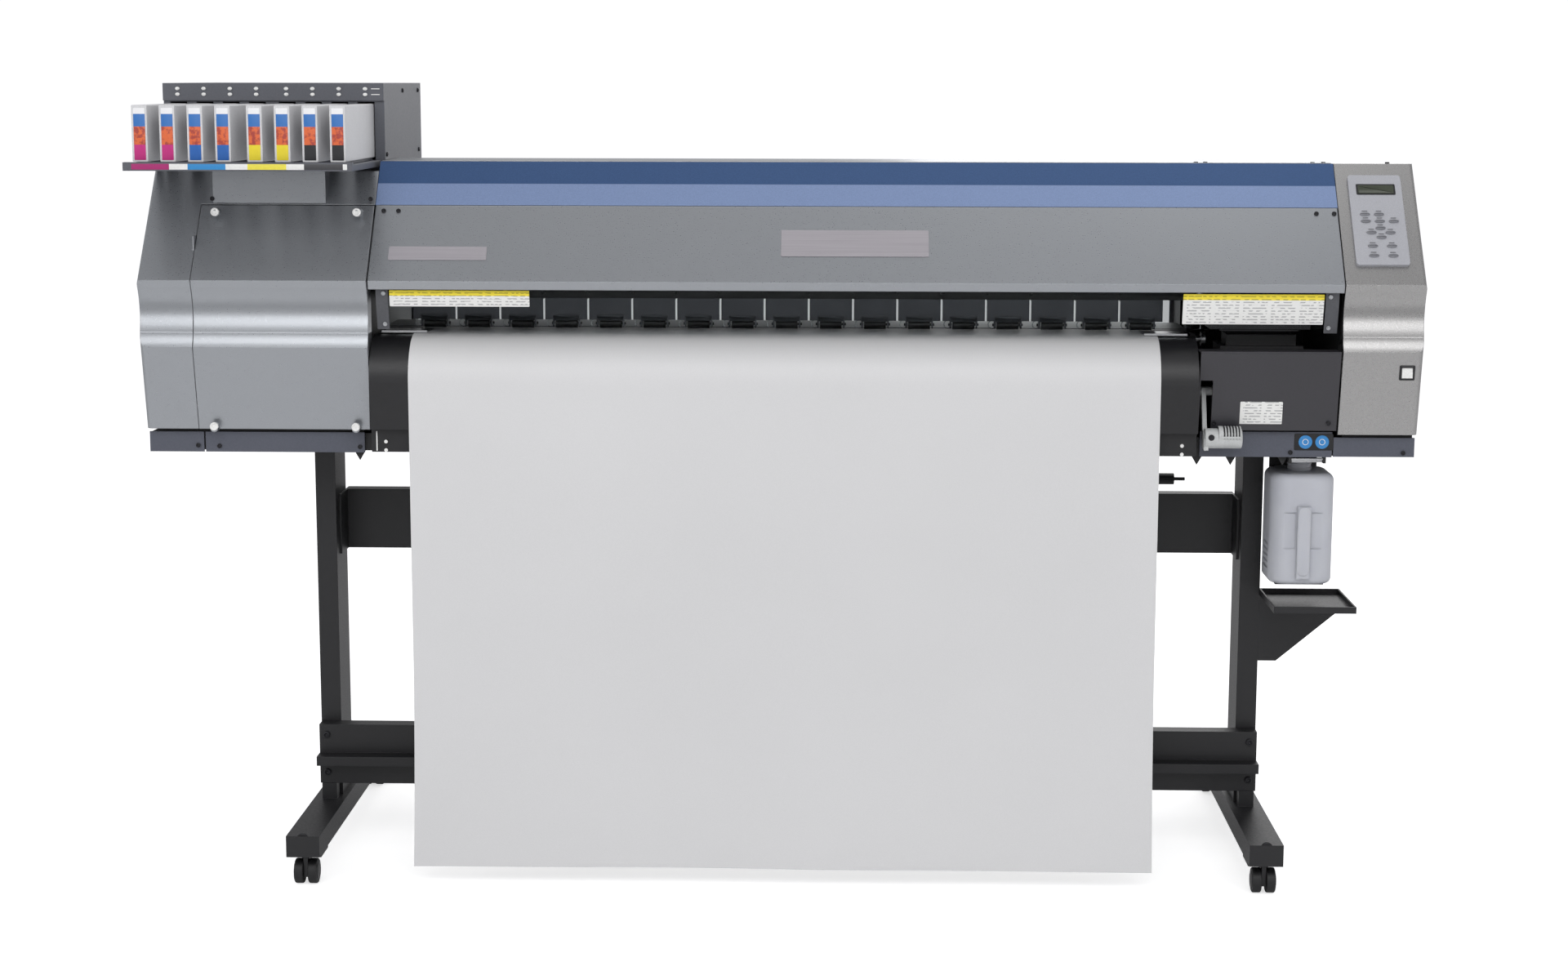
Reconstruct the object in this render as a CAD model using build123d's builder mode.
from build123d import *
import math
import os

# Wide-format ink-jet printer cutter on a castored stand.
# Millimetres, +Z up, front towards -Y, origin on the floor under the middle of the bounding box.

# --- overall sizes ---------------------------------------------------------
WIDTH = 2300.0
DEPTH = 754.0
HEIGHT = 1452.0
HALF_W = WIDTH / 2
FRONT = -DEPTH / 2
REAR = DEPTH / 2
MACHINE_H = 662.0     # from the base pan's underside to the top of the ink station

# --- stand -----------------------------------------------------------------
STAND_X = 12.0        # the stand and the sheet share this middle line
POST_X = 874.0        # post centre, each side of STAND_X
POST_W = 38.0
POST_Y0, POST_Y1 = -87.0, 13.0
POST_IN = STAND_X + POST_X - POST_W / 2
POST_OUT = STAND_X + POST_X + POST_W / 2
FOOT_W = 61.0
FOOT_Z0, FOOT_Z1 = 58.0, 97.6
BASE_Z = HEIGHT - MACHINE_H   # underside of the machine's base pan
CASTER_R = 23.0
CASTER_Y = DEPTH / 2 - 47     # swivel axis, front and rear
CASTER_TRAIL = 12.0

# --- chassis ---------------------------------------------------------------
PAN_X = HALF_W - 30.0
PAN_Y0, PAN_Y1 = -250.0, 168.0
PAN_T = 4.0

# --- body covers -----------------------------------------------------------
SKIN = 3.0            # cover wall
END_WALL = 6.0        # outer wall of the two end covers
EDGE_R = 12.0         # rounding of their lower front edge
LEFT_END = -735.0     # the left cover meets the centre here
RIGHT_END = 1006.0    # the right cover meets the centre here
MAINT_X = -HALF_W + 96        # left edge of the maintenance cover
COVER_Z0 = BASE_Z + 41
BUTTON_X = HALF_W - 28        # power button's middle
BUTTON_W = 19.0
BUTTON_Z = BASE_Z + 156
TOP_Z = BASE_Z + 521        # centre and right roof
LEFT_TOP_Z = TOP_Z - 18   # roof under the ink station
BACK_Y = 230.0
CREASE = (-303.0, BASE_Z + 313)
TOP_EDGE = (-138.0, TOP_Z)
BAND_EDGE = (-199.0, TOP_Z - 76.9)
LIP = (-299.0, BASE_Z + 298)
HINGE_DOWN = math.dist(TOP_EDGE, BAND_EDGE) + 8     # front cover's axis, down the incline
HINGE_DEPTH = 3.0

# --- media path ------------------------------------------------------------
SHEET_W = 1348.0
SHEET_T = 1.0
SHEET_X0 = STAND_X - 2 - SHEET_W / 2
SHEET_X1 = SHEET_X0 + SHEET_W
GUIDE_X0 = LEFT_END
GUIDE_X1 = SHEET_X1 + 68      # right end of the apron
BEARING_X = GUIDE_X1 + 3      # plate that carries the rollers' right ends
BEARING_W = 10.0
MEDIA_Z = BASE_Z + 213      # underside of the sheet on the platen
GAP = 0.3             # running gap between parts of different bodies
FEED_R = 14.0
FEED_Y = -124.0
PINCH_R = 9.0
PINCH_COUNT = 17
PINCH_PITCH = (SHEET_W + 39.2) / PINCH_COUNT
ARM_HALF = PINCH_PITCH / 2 - 1.8     # half the width of one pinch plate
ARM_PIVOT = (-60.0, BASE_Z + 288)
REAR_R = 130.0
REAR_BEND = (45.0, MEDIA_Z - REAR_R)
FRONT_R = 82.0
FRONT_BEND = (-225.0, MEDIA_Z - FRONT_R)
ROLL_R = 75.0
ROLL_Z = BASE_Z - 120
CORE_R = 38.0
ROLL_Y = REAR_BEND[0] + REAR_R + SHEET_T + GAP + ROLL_R

# --- carriage --------------------------------------------------------------
CAR_W = 180.0
CAR_X1 = RIGHT_END - 46
CAR_BACK = -148.0     # clear of the lifted pinch arms
CAR_X0 = CAR_X1 - CAR_W
RAIL_Z0, RAIL_Z1 = BASE_Z + 330, BASE_Z + 346
PULLEY_R = 19.0
BELT_Z = BASE_Z + 415

# --- clamp lever -----------------------------------------------------------
LEVER_PIVOT = (-236.0, BASE_Z + 115)
LEVER_X = BEARING_X + 9

# --- electronics box -------------------------------------------------------
BOX_X0 = BEARING_X + 13

# --- ink station -----------------------------------------------------------
SLOT_PITCH = 49.0
SLOT_GAP = 56.0
CART_W = 27.5
CART_H = 99.0
CART_Y0, CART_Y1 = -350.0, 30.0
CART_Z0 = LEFT_TOP_Z + 22.6
CART_X0 = -HALF_W + 28        # middle of the first slot

# --- waste tank ------------------------------------------------------------
TANK_X0 = POST_OUT - 5
TANK_X1 = TANK_X0 + 116
TANK_MID = (TANK_X0 + TANK_X1) / 2
STOPPER_PIVOT = (-246.0, BASE_Z - 6.5)

os.makedirs("parts", exist_ok=True)


def save(part, name):
    part.label = name
    export_step(part, "parts/" + name + ".step")


def block(x0, x1, y0, y1, z0, z1, mode=Mode.ADD):
    """A box between two corners."""
    with Locations(((x0 + x1) / 2, (y0 + y1) / 2, (z0 + z1) / 2)):
        Box(x1 - x0, y1 - y0, z1 - z0, mode=mode)


def rod_x(y, z, radius, x0, x1, mode=Mode.ADD):
    with Locations(Location(((x0 + x1) / 2, y, z), (0, 90, 0))):
        Cylinder(radius, x1 - x0, mode=mode)


def rod_y(x, z, radius, y0, y1, mode=Mode.ADD):
    with Locations(Location((x, (y0 + y1) / 2, z), (90, 0, 0))):
        Cylinder(radius, y1 - y0, mode=mode)


def rod_z(x, y, radius, z0, z1, mode=Mode.ADD):
    with Locations((x, y, (z0 + z1) / 2)):
        Cylinder(radius, z1 - z0, mode=mode)


def prism_x(points, x0, x1, mode=Mode.ADD):
    """A (y, z) polygon carried along X."""
    with BuildSketch(Plane.YZ.offset(x0)) as outline:
        with BuildLine():
            Polyline(*points, close=True)
        make_face()
    extrude(outline.sketch, amount=x1 - x0, mode=mode)


def prism_y(points, y0, y1, mode=Mode.ADD):
    """An (x, z) polygon carried along Y."""
    with BuildSketch(Plane.XZ.offset(-y0)) as outline:
        with BuildLine():
            Polyline(*points, close=True)
        make_face()
    extrude(outline.sketch, amount=-(y1 - y0), mode=mode)


def slope_point(distance, depth=0.0):
    """(y, z) on the inclined front, measured down from its top edge and inwards."""
    run = math.hypot(CREASE[0] - TOP_EDGE[0], CREASE[1] - TOP_EDGE[1])
    dy = (CREASE[0] - TOP_EDGE[0]) / run
    dz = (CREASE[1] - TOP_EDGE[1]) / run
    return (TOP_EDGE[0] + dy * distance - dz * depth, TOP_EDGE[1] + dz * distance + dy * depth)


def body_section(x0, x1, roof, inset=0.0, mode=Mode.ADD):
    """The side profile of the covers: roof, incline, hollow wave, lower front and back."""
    y_top = TOP_EDGE[0] + (TOP_EDGE[1] - roof) * (CREASE[0] - TOP_EDGE[0]) / (TOP_EDGE[1] - CREASE[1])
    k = inset
    with BuildSketch(Plane.YZ.offset(x0)) as outline:
        with BuildLine():
            Polyline((-270 + k, COVER_Z0 + k), (BACK_Y - k, COVER_Z0 + k), (BACK_Y - k, BASE_Z + 400 - k),
                     (70 - k, roof - k), (y_top + 0.46 * k, roof - k),
                     (CREASE[0] + 1.28 * k, CREASE[1]), (-299 + k, BASE_Z + 300))
            ThreePointArc((-299 + k, BASE_Z + 300), (-288 + k, BASE_Z + 262), (-291 + k, BASE_Z + 220))
            ThreePointArc((-291 + k, BASE_Z + 220), (-294 + k, BASE_Z + 206), (-300 + k, BASE_Z + 193))
            Line((-300 + k, BASE_Z + 193), (-270 + k, COVER_Z0 + k))
        make_face()
    extrude(outline.sketch, amount=x1 - x0, mode=mode)


def round_outer_edges(cover, index):
    """Round the outer edges of the incline and of the lower front of an end cover."""
    for low, high, radius in ((BASE_Z + 70, BASE_Z + 170, EDGE_R), (BASE_Z + 360, BASE_Z + 500, 6)):
        rim = cover.faces().sort_by(Axis.X)[index].edges().filter_by(GeomType.LINE)
        fillet(rim.filter_by(lambda e: e.center().Y < -120 and low < e.center().Z < high), radius)


def open_bottom(x0, x1):
    block(x0, x1, -265, BACK_Y - SKIN, COVER_Z0 - 1, COVER_Z0 + SKIN, mode=Mode.SUBTRACT)


# --- stand -----------------------------------------------------------------
def stand_foot(name, x):
    """Inverted U channel with folded ends and a caster plate under each end."""
    x0, x1 = x - FOOT_W / 2, x + FOOT_W / 2
    with BuildPart() as foot:
        block(x0, x1, FRONT, REAR, FOOT_Z0, FOOT_Z1)
        hollow = (x0 + SKIN, x1 - SKIN, FRONT + SKIN, REAR - SKIN, FOOT_Z0 - 1, FOOT_Z1 - SKIN)
        block(*hollow, mode=Mode.SUBTRACT)
        for y in (-CASTER_Y, CASTER_Y):
            block(x0, x1, y - 32, y + 32, FOOT_Z0 - 4, FOOT_Z0)
            rod_z(x, y, 5.05, FOOT_Z0 - 5, FOOT_Z0 + 1, mode=Mode.SUBTRACT)
        for y in (POST_Y0 - 34, POST_Y1 + 4):
            block(x - 14, x + 14, y, y + 30, FOOT_Z1, FOOT_Z1 + 30)
    save(foot.part, name)


def stand_posts():
    with BuildPart() as posts:
        for side in (-1, 1):
            x = STAND_X + side * POST_X
            x0, x1 = x - POST_W / 2, x + POST_W / 2
            block(x0, x1, POST_Y0, POST_Y1, FOOT_Z1, BASE_Z)
            block(x0 + SKIN, x1 - SKIN, POST_Y0 + SKIN, POST_Y1 - SKIN, FOOT_Z1, BASE_Z, mode=Mode.SUBTRACT)
            block(x0 - 6, x1 + 6, POST_Y0 - 6, POST_Y1 + 16, BASE_Z - 5, BASE_Z)
    save(posts.part, "stand_posts")


def stand_upper_beam():
    """Pressed channel between the posts, its ends folded forward along their inner sides."""
    inner = POST_X - POST_W / 2
    x0, x1 = STAND_X - inner, STAND_X + inner
    z0, z1 = BASE_Z - 227, BASE_Z - 112
    with BuildPart() as beam:
        block(x0, x1, POST_Y1 - 4, POST_Y1, z0, z1)
        block(x0, x1, POST_Y1 - 4, POST_Y1 + 30, z0, z0 + 4)
        block(x0, x1, POST_Y1 - 4, POST_Y1 + 30, z1 - 4, z1)
        block(x0, x0 + 4, POST_Y0 + 30, POST_Y1, z0, z1)
        block(x1 - 4, x1, POST_Y0 + 30, POST_Y1, z0, z1)
    save(beam.part, "stand_upper_beam")


def stand_lower_beam():
    """Box beam across the front of the posts with a ridge along its face."""
    x0, x1 = STAND_X - 891, STAND_X + 891
    with BuildPart() as beam:
        block(x0, x1, POST_Y0 - 33, POST_Y0, 128, 243)
        block(x0 - 1, x1 + 1, POST_Y0 - 30, POST_Y0 - 3, 131, 240, mode=Mode.SUBTRACT)
        block(x0, x1, POST_Y0 - 66, POST_Y0 - 33, 170, 188)
        for x in (x0, x1 - 3):
            block(x, x + 3, POST_Y0 - 31, POST_Y0 - 2, 130, 241)
    save(beam.part, "stand_lower_beam")


def caster(tag, x, end):
    """Twin-wheel caster: a forked swivel housing and a wheel pair on one axle."""
    pivot_y = end * CASTER_Y
    axle_y = pivot_y + end * CASTER_TRAIL
    top = FOOT_Z0 - 4
    with BuildPart() as fork:
        rod_z(x, pivot_y, 19, top - GAP - 5, top - GAP)
        block(x - 4, x + 4, min(pivot_y, axle_y) - 12, max(pivot_y, axle_y) + 12, 14, top - GAP - 3)
        rod_z(x, pivot_y, 5.0, top - 2, FOOT_Z0 + 2)
        rod_z(x, pivot_y, 8.0, FOOT_Z0 + GAP, FOOT_Z0 + 6)
        rod_x(axle_y, CASTER_R, 4.05, x - 10, x + 10, mode=Mode.SUBTRACT)
    save(fork.part, "caster_fork_" + tag)
    with BuildPart() as wheels:
        rod_x(axle_y, CASTER_R, 4.0, x - 8, x + 8)
        for side in (-1, 1):
            a, b = sorted((x + side * 4.4, x + side * 21))
            rod_x(axle_y, CASTER_R, CASTER_R, a, b)
        fillet(wheels.edges().filter_by(GeomType.CIRCLE).filter_by(lambda e: e.radius > CASTER_R - 0.1), 3)
    save(wheels.part, "caster_wheels_" + tag)


# --- chassis ---------------------------------------------------------------
def roll_hooks():
    """Open-topped hooks under the base pan that carry the roll's shaft."""
    z = ROLL_Z
    line = [(120, BASE_Z), (200, BASE_Z), (226, z + 70), (226, z + 30), (ROLL_Y - 12, z - 8),
            (ROLL_Y + 26, z - 8), (ROLL_Y + 26, z + 20), (ROLL_Y + 38, z + 20), (ROLL_Y + 38, z - 28), (ROLL_Y - 30, z - 28),
            (195, z + 20), (195, z + 65), (120, z + 80)]
    with BuildPart() as hooks:
        for x in (SHEET_X0 - 52, SHEET_X1 + 22):
            prism_x(line, x, x + 6)
            block(x, x + 6, ROLL_Y - 22, ROLL_Y + 22, BASE_Z - 135, BASE_Z - 118)
            rod_x(ROLL_Y, ROLL_Z, 11.55, x - 1, x + 7, mode=Mode.SUBTRACT)
            block(x - 1, x + 7, ROLL_Y - 11.55, ROLL_Y + 11.55, ROLL_Z, BASE_Z - 90, mode=Mode.SUBTRACT)
    save(hooks.part, "roll_hooks")


def base_frame():
    """Folded base pan with the switch body on its bracket."""
    with BuildPart() as frame:
        block(-PAN_X, PAN_X, PAN_Y0, PAN_Y1, BASE_Z, BASE_Z + PAN_T)
        block(-PAN_X, PAN_X, PAN_Y0, PAN_Y0 + SKIN, BASE_Z, BASE_Z + 32)
        block(-PAN_X, PAN_X, PAN_Y1 - SKIN, PAN_Y1, BASE_Z, BASE_Z + 32)
        block(BUTTON_X - 22, BUTTON_X + 22, -272, -240, BASE_Z + 135, BASE_Z + 177)
        block(BUTTON_X - 28, BUTTON_X - 16, PAN_Y0, -240, BASE_Z, BASE_Z + 140)
    save(frame.part, "base_frame")


def side_frames():
    """Side plates standing on the base pan, and the bearing plate of the rollers."""
    side = [(-225, PAN_T), (165, PAN_T), (165, 33), (205, 50), (205, 380), (60, 495), (-120, 495), (-225, 360), (-240, 320),
            (-240, 210), (-225, 200)]
    side = [(y, BASE_Z + height) for y, height in side]
    bearing = (BEARING_X, BEARING_X + BEARING_W)
    ends = ((bearing[0] - 5, bearing[1] + 5), (LEFT_END - 13, LEFT_END - 5))
    with BuildPart() as frames:
        prism_x(side, LEFT_END - 12, LEFT_END - 6)
        prism_x(side, RIGHT_END + 6, RIGHT_END + 12)
        block(*bearing, -135, -40, BASE_Z + PAN_T, BASE_Z + 210)
        block(*bearing, -76, -40, BASE_Z + 210, BASE_Z + 304)
        for x0, x1 in ends:
            rod_x(FEED_Y, MEDIA_Z - GAP - FEED_R, 6.05, x0, x1, mode=Mode.SUBTRACT)
            rod_x(*ARM_PIVOT, 5.05, x0, x1, mode=Mode.SUBTRACT)
    save(frames.part, "side_frames")


def guide_beam():
    """Hollow beam between the side frames with its linear rail and the belt's idler boss."""
    x0, x1 = LEFT_END - 6, RIGHT_END + 6
    with BuildPart() as beam:
        block(x0, x1, -97, -44, BASE_Z + 306, BASE_Z + 395)
        block(x0 - 1, x1 + 1, -93, -48, BASE_Z + 310, BASE_Z + 391, mode=Mode.SUBTRACT)
        block(x0, x1, -110, -97, RAIL_Z0, RAIL_Z1)
        block(x0 + 8, x0 + 40, -97, -91, BASE_Z + 395, BASE_Z + 435)
        block(x1 - 40, x1 - 8, -97, -91, BASE_Z + 395, BASE_Z + 435)
        rod_y(x1 - 24, BELT_Z, 4.05, -100, -90, mode=Mode.SUBTRACT)
        rod_y(x0 + 24, BELT_Z, PULLEY_R, -118, -105)
        rod_y(x0 + 24, BELT_Z, 6.0, -106, -96)
    save(beam.part, "guide_beam")


def platen():
    """Flat table in front of the feed roller, on a hollow box."""
    x0, x1 = SHEET_X0 - 26, SHEET_X1 + 30
    with BuildPart() as table:
        block(x0, x1, -223, -140, BASE_Z + 160, MEDIA_Z - 0.5)
        block(x0 + 3, x1 - 3, -220, -143, BASE_Z + 159, MEDIA_Z - 4, mode=Mode.SUBTRACT)
        for x in (x0, x1 - 20):
            block(x, x + 20, -200, -150, BASE_Z + 4, BASE_Z + 165)
    save(table.part, "platen")


def front_paper_guide():
    """Curved apron that the sheet slides down, with a set-back strip below."""
    x0, x1 = GUIDE_X0, GUIDE_X1
    cy, cz = FRONT_BEND
    outer = FRONT_R - 0.5
    foot = BASE_Z + 46
    inner = outer - SKIN
    c = math.cos(math.radians(45))
    with BuildPart() as guide:
        with BuildSketch(Plane.YZ.offset(x0)) as outline:
            with BuildLine():
                Line((cy + 1.5, cz + outer), (cy, cz + outer))
                ThreePointArc((cy, cz + outer), (cy - outer * c, cz + outer * c), (cy - outer, cz))
                Polyline((cy - outer, cz), (cy - outer, foot), (-289, foot), (-289, BASE_Z + 3),
                         (-286, BASE_Z + 3), (-286, foot + SKIN), (cy - inner, foot + SKIN), (cy - inner, cz))
                ThreePointArc((cy - inner, cz), (cy - inner * c, cz + inner * c), (cy, cz + inner))
                Polyline((cy, cz + inner), (cy + 1.5, cz + inner), (cy + 1.5, cz + outer))
            make_face()
        extrude(outline.sketch, amount=x1 - x0)
        for n in range(5):
            x = x0 + 8 + n * (x1 - x0 - 20) / 4
            block(x, x + 4, -288, PAN_Y0, BASE_Z + 6, BASE_Z + 46)
    save(guide.part, "front_paper_guide")


def rear_paper_guide():
    """Flat lead-in behind the feed roller, then a quarter bend down to the roll."""
    x0, x1 = LEFT_END - 6, BEARING_X - 1
    cy, cz = REAR_BEND
    foot = BASE_Z + 36
    outer = REAR_R - 0.5
    inner = outer - SKIN
    c = math.cos(math.radians(45))
    with BuildPart() as guide:
        with BuildSketch(Plane.YZ.offset(x0)) as outline:
            with BuildLine():
                Line((-107, cz + outer), (cy, cz + outer))
                ThreePointArc((cy, cz + outer), (cy + outer * c, cz + outer * c), (cy + outer, cz))
                Polyline((cy + outer, cz), (cy + outer, foot), (cy + inner, foot), (cy + inner, cz))
                ThreePointArc((cy + inner, cz), (cy + inner * c, cz + inner * c), (cy, cz + inner))
                Polyline((cy, cz + inner), (-107, cz + inner), (-107, cz + outer))
            make_face()
        extrude(outline.sketch, amount=x1 - x0)
        for n in range(3):
            x = x0 + n * (x1 - x0 - 4) / 2
            block(x, x + 4, -100, PAN_Y1 - SKIN, BASE_Z + 4, BASE_Z + 90)
            block(x, x + 4, -100, 20, BASE_Z + 90, cz + inner)
    save(guide.part, "rear_paper_guide")


def feed_roller():
    """Long grit shaft with reduced ends in the frame's bearings."""
    z = MEDIA_Z - GAP - FEED_R
    with BuildPart() as roller:
        rod_x(FEED_Y, z, FEED_R, LEFT_END + 20, BEARING_X - 10)
        rod_x(FEED_Y, z, 6.0, LEFT_END - 11, BEARING_X + BEARING_W + 20)
        rod_x(FEED_Y, z, 13.0, BEARING_X + BEARING_W + 11, BEARING_X + BEARING_W + 19)
    save(roller.part, "feed_roller")


def pinch_x(index):
    return STAND_X + (index - (PINCH_COUNT - 1) / 2) * PINCH_PITCH


def pinch_arms():
    """One lifting shaft with seventeen plates, each with two cheeks for its roller."""
    py, pz = ARM_PIVOT
    roller_z = MEDIA_Z + SHEET_T + GAP + PINCH_R
    with BuildPart() as arms:
        rod_x(py, pz, 5.0, LEFT_END - 11, BEARING_X + BEARING_W + 1)
        for i in range(PINCH_COUNT):
            x = pinch_x(i)
            block(x - ARM_HALF, x + ARM_HALF, FEED_Y - 14, FEED_Y - 11, BASE_Z + 231, BASE_Z + 270)
            block(x - ARM_HALF, x + ARM_HALF, FEED_Y - 14, py, BASE_Z + 268, BASE_Z + 271)
            block(x - 12, x + 12, py - 10, py + 6, BASE_Z + 268, pz + 8)
            for side in (-1, 1):
                c = x + side * 24
                block(c - 1.5, c + 1.5, FEED_Y - 13, FEED_Y + 12, BASE_Z + 217, BASE_Z + 269)
            rod_x(FEED_Y, roller_z, 2.55, x - 30, x + 30, mode=Mode.SUBTRACT)
    save(arms.part, "pinch_arms")


def pinch_rollers():
    z = MEDIA_Z + SHEET_T + GAP + PINCH_R
    with BuildPart() as rollers:
        for i in range(PINCH_COUNT):
            x = pinch_x(i)
            rod_x(FEED_Y, z, PINCH_R, x - 20, x + 20)
            rod_x(FEED_Y, z, 2.5, x - 28, x + 28)
    save(rollers.part, "pinch_rollers")


def clamp_lever():
    """Pivot shaft, flat arm and round grip at the right of the sheet."""
    z = LEVER_PIVOT[1] - 90
    with BuildPart() as lever:
        rod_x(*LEVER_PIVOT, 8.0, LEVER_X - 7.5, LEVER_X + 36)
        with BuildSketch(Plane.YZ.offset(LEVER_X)) as outline:
            with BuildLine():
                Polyline((-246, z + 97), (-228, z + 90), (-258, z + 33), (-272, z - 7), (-300, z - 10),
                         (-300, z + 11), (-274, z + 25), close=True)
            make_face()
        extrude(outline.sketch, amount=8)
        rod_x(-289, BASE_Z + 36, 18.0, LEVER_X + 2, LEVER_X + 68)
        fillet(lever.edges().filter_by(GeomType.CIRCLE).sort_by(Axis.X)[-1], 2.5)
    save(lever.part, "clamp_lever")


def capping_station():
    """Cap and wiper unit under the parked carriage, with the lug of the clamp lever's shaft."""
    x0, x1 = CAR_X0 + 20, CAR_X1 - 10
    lug = LEVER_X + 20
    with BuildPart() as station:
        block(x0, x1, -215, -120, BASE_Z + 110, BASE_Z + 195)
        block(x0 + 12, x1 - 12, -205, -140, BASE_Z + 195, BASE_Z + 215)
        block(x0 + 18, x1 - 18, -199, -146, BASE_Z + 205, BASE_Z + 216, mode=Mode.SUBTRACT)
        block(x0, x0 + 30, -200, -130, BASE_Z + 8, BASE_Z + 110)
        block(x1 - 30, x1, -200, -130, BASE_Z + 8, BASE_Z + 110)
        block(lug, x1, -200, -130, BASE_Z + 4, BASE_Z + 8)
        block(lug, lug + 10, PAN_Y0 + SKIN, -200, BASE_Z + 4, BASE_Z + 8)
        block(lug, lug + 10, PAN_Y0 + SKIN, -222, BASE_Z + 8, BASE_Z + 128)
        rod_x(*LEVER_PIVOT, 8.05, lug - 1, lug + 11, mode=Mode.SUBTRACT)
    save(station.part, "capping_station")


def edge_guard(name, x0, x1):
    """Thin spring plate that holds down one edge of the sheet."""
    z = MEDIA_Z + SHEET_T + GAP
    with BuildPart() as guard:
        block(x0, x1, -232, -150, z, z + 1)
        block(x0, x1, -232, -229, z, z + 4)
    save(guard.part, name)


def drive_pulley():
    x = RIGHT_END + 6 - 24
    with BuildPart() as pulley:
        rod_y(x, BELT_Z, PULLEY_R - GAP, -118, -106)
        rod_y(x, BELT_Z, 4.0, -119, -60)
        rod_y(x, BELT_Z, PULLEY_R + 3, -105.5, -103.5)
        rod_y(x, BELT_Z, 8.0, -106, -97.5)
        rod_y(x, BELT_Z, 8.0, -90.5, -62)
    save(pulley.part, "drive_pulley")


def carriage_belt():
    """Toothed belt round the drive pulley and the fixed idler boss."""
    xa, xb = LEFT_END - 6 + 24, RIGHT_END + 6 - 24
    with BuildPart() as belt:
        with BuildSketch(Plane.XZ.offset(107)) as loop:
            with Locations(((xa + xb) / 2, BELT_Z)):
                SlotCenterToCenter(xb - xa, 2 * (PULLEY_R + 1.5))
                SlotCenterToCenter(xb - xa, 2 * PULLEY_R, mode=Mode.SUBTRACT)
        extrude(loop.sketch, amount=10)
    save(belt.part, "carriage_belt")


def carriage():
    """Print head box in front of the rail, with a slider that wraps it."""
    with BuildPart() as box:
        block(CAR_X0, CAR_X1, -222, CAR_BACK, BASE_Z + 226, BASE_Z + 382)
        block(CAR_X0 + 3, CAR_X1 - 3, -219, CAR_BACK - 3, BASE_Z + 224, BASE_Z + 240, mode=Mode.SUBTRACT)
        block(CAR_X0 + 20, CAR_X1 - 20, -214, CAR_BACK - 5, BASE_Z + 222, BASE_Z + 244)
        edges = box.edges().filter_by(Axis.X).group_by(Axis.Y)[0]
        fillet(edges.sort_by(Axis.Z)[-1], 12)
        block(CAR_X0 + 10, CAR_X1 - 10, CAR_BACK, -99, RAIL_Z0 - 12, RAIL_Z1 + 12)
        block(CAR_X0, CAR_X1, -110.4, -98, RAIL_Z0 - GAP, RAIL_Z1 + GAP, mode=Mode.SUBTRACT)
        clamp_z = BELT_Z - PULLEY_R - 1.5 - GAP
        block(CAR_X0 + 60, CAR_X0 + 90, CAR_BACK - 4, -122, BASE_Z + 370, clamp_z - 4)
        block(CAR_X0 + 60, CAR_X0 + 90, -126, -112, BASE_Z + 370, clamp_z)
        block(CAR_X0 + 60, CAR_X0 + 90, -126, -119, RAIL_Z1, BASE_Z + 372)
    save(box.part, "carriage")


def cutter_holder():
    """Blade holder that drops beside the carriage."""
    x = CAR_X0 - 12
    with BuildPart() as holder:
        rod_z(x, -178, 9, BASE_Z + 270, BASE_Z + 330)
        rod_z(x, -178, 6, BASE_Z + 240, BASE_Z + 270)
        with Locations((x, -178, BASE_Z + 234)):
            Cone(1.2, 6, 12)
        rod_z(x, -178, 1.2, BASE_Z + 222, BASE_Z + 230)
        rod_z(x, -178, 11, BASE_Z + 330, BASE_Z + 336)
    save(holder.part, "cutter_holder")


def electronics_box():
    """Closed box at the rear right with the power inlet recess."""
    with BuildPart() as case:
        block(BOX_X0, RIGHT_END - 2, 120, 226, BASE_Z + 33, BASE_Z + 285)
        block(BOX_X0, RIGHT_END - 2, 120, PAN_Y1 - SKIN, BASE_Z + 4, BASE_Z + 33)
        block(BOX_X0 + 32, BOX_X0 + 80, 216, 230, BASE_Z + 50, BASE_Z + 78, mode=Mode.SUBTRACT)
        block(BOX_X0 + 112, BOX_X0 + 192, 222, 230, BASE_Z + 46, BASE_Z + 110, mode=Mode.SUBTRACT)
    save(case.part, "electronics_box")


# --- covers ----------------------------------------------------------------
def left_side_cover():
    """Moulded end cover that also roofs the bay behind the maintenance cover."""
    x1 = LEFT_END - 1
    with BuildPart() as cover:
        body_section(-HALF_W, x1, LEFT_TOP_Z)
        round_outer_edges(cover, 0)
        body_section(-HALF_W + END_WALL, x1 + 1, LEFT_TOP_Z, SKIN, mode=Mode.SUBTRACT)
        block(MAINT_X, x1 + 1, -320, -100, COVER_Z0 - 1, BASE_Z + 444, mode=Mode.SUBTRACT)
        open_bottom(-HALF_W + END_WALL, x1 + 1)
        wedge = [(-199, 446), (-199, 506), (-139, 506), (-120, 500), (-150, 500)]
        prism_x([(y, BASE_Z + height) for y, height in wedge], MAINT_X + 22, MAINT_X + 228)
        block(MAINT_X - SKIN, MAINT_X, -262, -100, COVER_Z0, BASE_Z + 390)
    save(cover.part, "left_side_cover")


def right_side_cover():
    """Moulded end cover with the power button's window and the panel's seat."""
    x0 = RIGHT_END + 1
    with BuildPart() as cover:
        body_section(x0, HALF_W, TOP_Z)
        round_outer_edges(cover, -1)
        body_section(x0 - 1, HALF_W - END_WALL, TOP_Z, SKIN, mode=Mode.SUBTRACT)
        open_bottom(x0 - 1, HALF_W - END_WALL)
        half = BUTTON_W / 2 + 0.5
        window = (BUTTON_X - half, BUTTON_X + half, -310, -280, BUTTON_Z - half, BUTTON_Z + half)
        block(*window, mode=Mode.SUBTRACT)
    save(cover.part, "right_side_cover")


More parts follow.
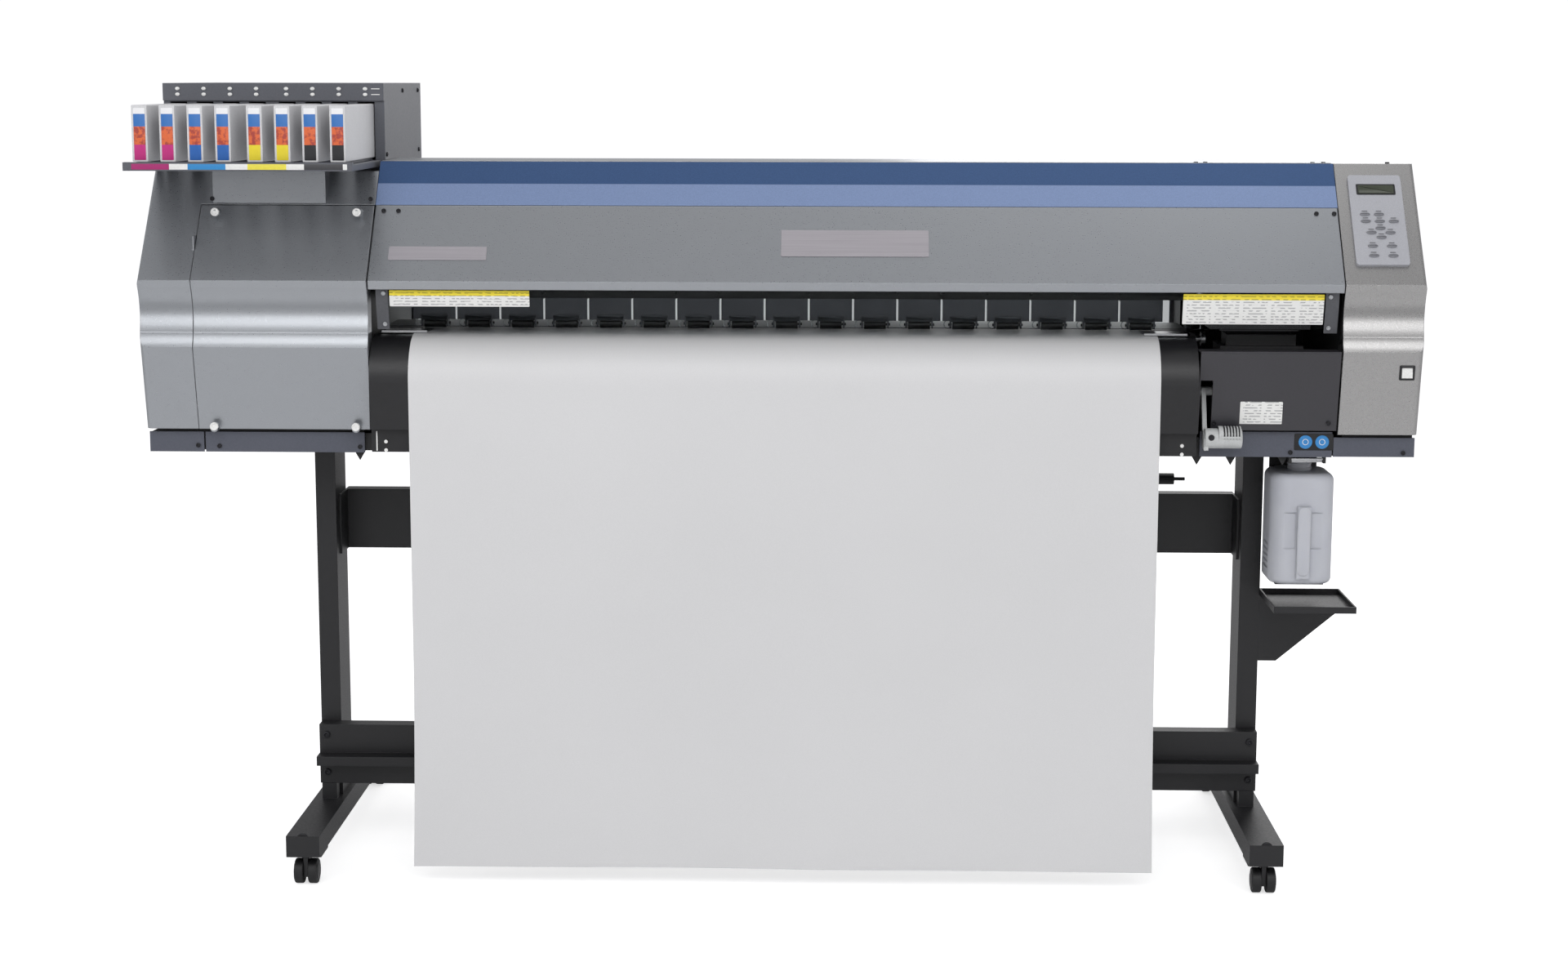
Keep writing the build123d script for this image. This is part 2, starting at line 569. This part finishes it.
def shell_strip(points, x0, x1):
    """A bent sheet whose outer line runs through points given in order, SKIN thick."""
    inner = []
    for i, (y, z) in enumerate(points):
        a = points[max(i - 1, 0)]
        b = points[min(i + 1, len(points) - 1)]
        run = math.hypot(b[0] - a[0], b[1] - a[1])
        inner.append((y - (b[1] - a[1]) / run * SKIN, z + (b[0] - a[0]) / run * SKIN))
    prism_x(list(points) + inner[::-1], x0, x1)


def top_cover():
    x0, x1 = LEFT_END, RIGHT_END
    with BuildPart() as cover:
        prism_x([(-137.5, TOP_Z), (70, TOP_Z), (215, TOP_Z - 121), (215, TOP_Z - 136), (212, TOP_Z - 136),
                 (212, TOP_Z - 122.5), (69, TOP_Z - SKIN), (-136.1, TOP_Z - SKIN)], x0, x1)
        for x in (x0, x1 - 3):
            block(x, x + 3, -120, 60, BASE_Z + 496, TOP_Z - 2)
    save(cover.part, "top_cover")


def blue_band():
    """Sloping trim strip between the roof and the front cover."""
    with BuildPart() as band:
        y, z = BAND_EDGE
        section = [TOP_EDGE, BAND_EDGE, (y + 2.35, z - 1.86), (TOP_EDGE[0] + 1.4, TOP_Z - SKIN)]
        prism_x(section, LEFT_END, RIGHT_END)
    save(band.part, "blue_band")


def front_cover():
    """Hinged cover: incline, crease and short lip, with ribs at its ends."""
    y0, z0 = slope_point(math.dist(TOP_EDGE, BAND_EDGE) + 1.2)
    x0, x1 = LEFT_END + 1, RIGHT_END - 1
    rib = [(-297, 299), (-301, 313), (-206, 431), (-206, 410), (-262, 320), (-262, 299)]
    with BuildPart() as cover:
        shell_strip([(y0, z0), CREASE, LIP], x0, x1)
        for x in (x0, x1 - 3):
            prism_x([(y, BASE_Z + height) for y, height in rib], x, x + SKIN)
        rod_x(*slope_point(HINGE_DOWN, HINGE_DEPTH), 2.2, x0, x1)
    save(cover.part, "front_cover")


def front_window():
    """Clear strip under the lip of the front cover with a metal bracket at each end."""
    with BuildPart() as window:
        line = [(-287, BASE_Z + 305), (-281, BASE_Z + 270), (-271, BASE_Z + 230)]
        shell_strip(line, LEFT_END + 34, RIGHT_END - 31)
    save(window.part, "front_window")
    with BuildPart() as brackets:
        for x0, x1 in ((LEFT_END + 12, LEFT_END + 34), (RIGHT_END - 31, RIGHT_END - 7)):
            shell_strip([(-288, BASE_Z + 308), (-283, BASE_Z + 270), (-272, BASE_Z + 224)], x0, x1)
            block(x0, x1, -292, -262, BASE_Z + 305, BASE_Z + 308)
    save(brackets.part, "window_brackets")


def maintenance_cover():
    """Lift-off front cover of the left bay, with a thumb knob at each corner."""
    x0, x1 = MAINT_X + 1, LEFT_END - 2
    rib = [(-268, 50), (-292, 190), (-285, 260), (-292, 310), (-205, 425), (-205, 390), (-255, 310),
           (-255, 190), (-255, 50)]
    with BuildPart() as cover:
        body_section(x0, x1, LEFT_TOP_Z)
        body_section(x0 - 1, x1 + 1, LEFT_TOP_Z, SKIN, mode=Mode.SUBTRACT)
        block(x0 - 2, x1 + 2, -130, 300, BASE_Z + 10, BASE_Z + 610, mode=Mode.SUBTRACT)
        block(x0 - 2, x1 + 2, -262, 300, BASE_Z + 10, BASE_Z + 70, mode=Mode.SUBTRACT)
        block(x0 - 2, x1 + 2, -400, 300, BASE_Z + 442.5, BASE_Z + 610, mode=Mode.SUBTRACT)
        for x in (x0, x1 - 3):
            prism_x([(y, BASE_Z + height) for y, height in rib], x, x + SKIN)
        for x in (x0 + 31, x1 - 27):
            rod_y(x, BASE_Z + 431, 7, -232, -205)
            rod_y(x, BASE_Z + 44, 7, -287, -267)
    save(cover.part, "maintenance_cover")


def right_service_cover():
    """Dark screwed-on cover beside the apron, notched for the clamp lever."""
    x0, x1 = BEARING_X, RIGHT_END - 2
    with BuildPart() as cover:
        shell_strip([(-299, BASE_Z + 193), (-270, BASE_Z + 48)], x0, x1)
        block(x0, x1, -299, PAN_Y0, BASE_Z + 190, BASE_Z + 193)
        block(x1 - SKIN, x1, -272, PAN_Y0, BASE_Z + 55, BASE_Z + 193)
        block(LEVER_X - 7, LEVER_X + 15, -320, -255, BASE_Z + 40, BASE_Z + 140, mode=Mode.SUBTRACT)
    save(cover.part, "right_service_cover")


def skirt_panels():
    """Slate strips below the covers, with returns back to the base pan."""
    edge = HALF_W - 2
    spans = [(-edge, MAINT_X + 5.5, -3, 34), (MAINT_X + 8.5, LEFT_END - 19, -3, 34),
             (LEVER_X - 2, RIGHT_END - 6, -2, 44), (RIGHT_END - 3.5, edge, -1, 34)]
    with BuildPart() as skirts:
        for x0, x1, low, high in spans:
            block(x0, x1, PAN_Y0 - 6, PAN_Y0 - 3, BASE_Z + low, BASE_Z + high)
            block(x0, x1, PAN_Y0 - 3, PAN_Y0, BASE_Z + 2, BASE_Z + 5)
            block(x0, x1, PAN_Y0 - 3, PAN_Y0, BASE_Z + 25, BASE_Z + 28)
        for x0, x1, wall in ((-edge, -PAN_X, -edge), (PAN_X, edge, edge - SKIN)):
            block(wall, wall + SKIN, PAN_Y0 - 5, PAN_Y1, BASE_Z - 1, BASE_Z + 32)
            block(x0, x1, PAN_Y1 - SKIN, PAN_Y1, BASE_Z, BASE_Z + 32)
    save(skirts.part, "skirt_panels")


def rear_cover():
    """Back panels above and beside the rear paper path."""
    with BuildPart() as cover:
        block(LEFT_END, RIGHT_END, 215.5, 218.5, BASE_Z + 292, BASE_Z + 384.5)
        block(LEFT_END, RIGHT_END, 190, 218.5, BASE_Z + 289, BASE_Z + 292)
        block(BOX_X0 - 8, RIGHT_END, 226.5, 229.5, BASE_Z + 45, BASE_Z + 289)
        block(BOX_X0 - 8, RIGHT_END, 215.5, 229.5, BASE_Z + 289, BASE_Z + 292)
        block(BOX_X0 + 30, BOX_X0 + 82, 220, 232, BASE_Z + 48, BASE_Z + 80, mode=Mode.SUBTRACT)
        block(BOX_X0 + 110, BOX_X0 + 194, 220, 232, BASE_Z + 44, BASE_Z + 112, mode=Mode.SUBTRACT)
    save(cover.part, "rear_cover")


def tilted_plate(x0, x1, s0, s1, low, high):
    """A plate lying on the inclined front, from s0 to s1 down the slope."""
    corners = ((s0, low), (s1, low), (s1, high), (s0, high))
    prism_x([slope_point(s, depth) for s, depth in corners], x0, x1)


def operation_panel():
    with BuildPart() as panel:
        tilted_plate(RIGHT_END + 22, RIGHT_END + 117, 30, 226, -0.01, -6)
        keep = panel.edges().filter_by(Axis.X, reverse=True)
        fillet(keep.filter_by(lambda e: abs(e.length - 5.99) < 0.05), 6)
    save(panel.part, "operation_panel")


def power_button():
    with BuildPart() as button:
        for half, y0, y1 in ((BUTTON_W / 2, -295.5, -289), (BUTTON_W / 2 + 3, -283, -281)):
            block(BUTTON_X - half, BUTTON_X + half, y0, y1, BUTTON_Z - half, BUTTON_Z + half)
        rod_y(BUTTON_X, BUTTON_Z, 4, -290, -281)
    save(button.part, "power_button")


# --- ink station -----------------------------------------------------------
def cart_x(index):
    return CART_X0 + SLOT_PITCH * index + (SLOT_GAP - SLOT_PITCH) * (index > 3)


def station_housing():
    """Box on the left roof with eight slots and an overhanging indicator panel."""
    x0, x1 = -HALF_W, LEFT_END - 3
    y0, y1 = -70.0, 347.0
    half = CART_W / 2 + 2
    with BuildPart() as box:
        block(x0, x1, y0, y1, LEFT_TOP_Z, HEIGHT)
        for i in range(8):
            x = cart_x(i)
            block(x - half, x + half, y0 - 1, 60, LEFT_TOP_Z + 7, CART_Z0 + CART_H + 3.4, mode=Mode.SUBTRACT)
        block(x0 + 4, x1 - 4, 70, y1 - 4, LEFT_TOP_Z + 4, HEIGHT - 4, mode=Mode.SUBTRACT)
        block(x0, x1, y0 - 6, y0, BASE_Z + 630, HEIGHT)
    save(box.part, "station_housing")


def cartridge_tray():
    """Bar under the cartridge fronts, with a shelf arm under every slot."""
    x0, x1 = -HALF_W, LEFT_END - 10
    top = CART_Z0 - 0.6
    with BuildPart() as tray:
        block(x0, x1, -366, -350.5, BASE_Z + 510, top)
        for i in range(8):
            x = cart_x(i)
            block(x - 10, x + 10, -351, -70, top - 4, top)
        block(x0, x1, -90, -70, BASE_Z + 511, top - 4)
        for x in (x0, x1 - 12):
            block(x, x + 12, -366, -70, BASE_Z + 510, top - 4)
    save(tray.part, "cartridge_tray")


def ink_cartridge(index):
    x = cart_x(index)
    with BuildPart() as cart:
        block(x - CART_W / 2, x + CART_W / 2, CART_Y0, CART_Y1, CART_Z0, CART_Z0 + CART_H)
        fillet(cart.edges().filter_by(Axis.Y), 2)
    save(cart.part, "ink_cartridge_%d" % (index + 1))


# --- waste and tray --------------------------------------------------------
def waste_tank():
    """Blow-moulded tank with a neck, waist ribs and a recessed front grip."""
    y0, y1 = -232.0, -99.0
    with BuildPart() as tank:
        block(TANK_X0, TANK_X1, y0, y1, BASE_Z - 242, BASE_Z - 38)
        fillet(tank.edges().filter_by(Axis.Z), 36)
        fillet(tank.faces().sort_by(Axis.Z)[-1].edges(), 14)
        fillet(tank.faces().sort_by(Axis.Z)[0].edges(), 10)
        for x in (TANK_X0, TANK_X1):
            for n in range(5):
                z = BASE_Z - 218 + n * 11
                block(x - 2, x + 2, y0 + 38, y1 - 38, z, z + 5, mode=Mode.SUBTRACT)
        for side in (-1, 1):
            x = TANK_MID + side * 26
            block(x - 12, x + 12, y0 - 1, y0 + 3, BASE_Z - 175, BASE_Z - 108, mode=Mode.SUBTRACT)
        rod_z(TANK_MID, -165, 21, BASE_Z - 40, BASE_Z - 14)
        rod_z(TANK_MID, -165, 16, BASE_Z - 90, BASE_Z - 13, mode=Mode.SUBTRACT)
        block(TANK_MID - 12, TANK_MID + 12, y0 - 8, y0 + 4, BASE_Z - 230, BASE_Z - 96)
    save(tank.part, "waste_tank")


def tank_bracket():
    """Folded hanger: back plate down from the base pan and a shelf under the tank."""
    x0, x1 = TANK_X0 + 14, TANK_X1 - 14
    with BuildPart() as bracket:
        block(x0, x1, -97, -94, BASE_Z - 246, BASE_Z)
        block(x0, x1, -205, -94, BASE_Z - 246, BASE_Z - 242.4)
        for x in (TANK_MID - 34, TANK_MID + 28):
            block(x, x + 5, PAN_Y0 - 1, -238, BASE_Z - 14, BASE_Z)
            rod_x(*STOPPER_PIVOT, 2.55, x - 1, x + 6, mode=Mode.SUBTRACT)
        block(TANK_MID - 34, TANK_MID + 33, PAN_Y0 + 1, -94, BASE_Z - 3, BASE_Z)
    save(bracket.part, "tank_bracket")


def tank_stopper():
    """Small plate that swings down in front of the tank's neck."""
    with BuildPart() as plate:
        rod_x(*STOPPER_PIVOT, 2.5, TANK_MID - 32, TANK_MID + 31)
        y, z = STOPPER_PIVOT
        block(TANK_MID - 28, TANK_MID + 27, y - 1.5, y + 1.5, z - 6, z)
    save(plate.part, "tank_stopper")


def drip_tray():
    """Shallow tray on a folded gusset, fixed to the right post."""
    x0 = POST_OUT
    x1 = x0 + 150
    z = BASE_Z - 290
    with BuildPart() as tray:
        block(x0, x1, -256, -78, z, z + 12)
        block(x0 + 3, x1 - 3, -253, -81, z + 3, z + 13, mode=Mode.SUBTRACT)
        prism_y([(x0, z), (x1 - 2, z), (x1 - 2, z - 30), (x0 + 34, z - 126), (x0, z - 126)], -87, -84)
        block(x0, x0 + 3, -87, 5, z - 126, z)
    save(tray.part, "drip_tray")


# --- media -----------------------------------------------------------------
def media_sheet():
    """Printed sheet from the roll, over the platen and down the front with a lazy curl."""
    ry, rz = REAR_BEND
    fy, fz = FRONT_BEND
    c = math.cos(math.radians(45))
    a, b = REAR_R, REAR_R + SHEET_T
    e, f = FRONT_R, FRONT_R + SHEET_T
    t = SHEET_T
    with BuildPart() as sheet:
        with BuildSketch(Plane.YZ.offset(SHEET_X0)) as outline:
            with BuildLine():
                Line((ry + a, ROLL_Z), (ry + a, rz))
                ThreePointArc((ry + a, rz), (ry + a * c, rz + a * c), (ry, rz + a))
                Line((ry, rz + a), (fy, fz + e))
                ThreePointArc((fy, fz + e), (fy - e * c, fz + e * c), (fy - e, fz))
                Line((fy - e, fz), (fy - e, 430))
                ThreePointArc((fy - e, 430), (fy - e - 9, 235), (fy - e - 40, 34))
                Line((fy - e - 40, 34), (fy - e - 40 - t, 34))
                ThreePointArc((fy - e - 40 - t, 34), (fy - e - 9 - t, 235), (fy - f, 430))
                Line((fy - f, 430), (fy - f, fz))
                ThreePointArc((fy - f, fz), (fy - f * c, fz + f * c), (fy, fz + f))
                Line((fy, fz + f), (ry, rz + b))
                ThreePointArc((ry, rz + b), (ry + b * c, rz + b * c), (ry + b, rz))
                Line((ry + b, rz), (ry + b, ROLL_Z))
                Line((ry + b, ROLL_Z), (ry + a, ROLL_Z))
            make_face()
        extrude(outline.sketch, amount=SHEET_W)
    save(sheet.part, "media_sheet")


def media_roll():
    """Wound media on a tube core."""
    with BuildPart() as roll:
        rod_x(ROLL_Y, ROLL_Z, ROLL_R, SHEET_X0, SHEET_X1)
        rod_x(ROLL_Y, ROLL_Z, CORE_R, SHEET_X0 - 1, SHEET_X1 + 1, mode=Mode.SUBTRACT)
    save(roll.part, "media_roll")


def roll_shaft():
    """Shaft through the roll with a core flange at each end and a steel end pin."""
    with BuildPart() as shaft:
        rod_x(ROLL_Y, ROLL_Z, 11.5, SHEET_X0 - 92, SHEET_X1 + 96)
        rod_x(ROLL_Y, ROLL_Z, 3.5, SHEET_X1 + 96, SHEET_X1 + 118)
        for a, b in ((SHEET_X0 - 8, SHEET_X0), (SHEET_X1, SHEET_X1 + 8)):
            rod_x(ROLL_Y, ROLL_Z, CORE_R + 17, a, b)
        for a, b in ((SHEET_X0, SHEET_X0 + 30), (SHEET_X1 - 30, SHEET_X1)):
            rod_x(ROLL_Y, ROLL_Z, CORE_R, a, b)
    save(shaft.part, "roll_shaft")


for side, tag in ((-1, "left"), (1, "right")):
    stand_foot("stand_foot_" + tag, STAND_X + side * POST_X)
    caster("front_" + tag, STAND_X + side * POST_X, -1)
    caster("rear_" + tag, STAND_X + side * POST_X, 1)
stand_posts()
stand_upper_beam()
stand_lower_beam()
base_frame()
side_frames()
roll_hooks()
guide_beam()
platen()
front_paper_guide()
rear_paper_guide()
feed_roller()
pinch_arms()
pinch_rollers()
clamp_lever()
capping_station()
edge_guard("edge_guard_left", SHEET_X0 - 59, SHEET_X0 + 24)
edge_guard("edge_guard_right", SHEET_X1 - 24, SHEET_X1 + 54)
drive_pulley()
carriage_belt()
carriage()
cutter_holder()
electronics_box()
left_side_cover()
right_side_cover()
top_cover()
blue_band()
front_cover()
front_window()
maintenance_cover()
right_service_cover()
skirt_panels()
rear_cover()
operation_panel()
power_button()
station_housing()
cartridge_tray()
for slot in range(8):
    ink_cartridge(slot)
waste_tank()
tank_bracket()
tank_stopper()
drip_tray()
media_sheet()
media_roll()
roll_shaft()
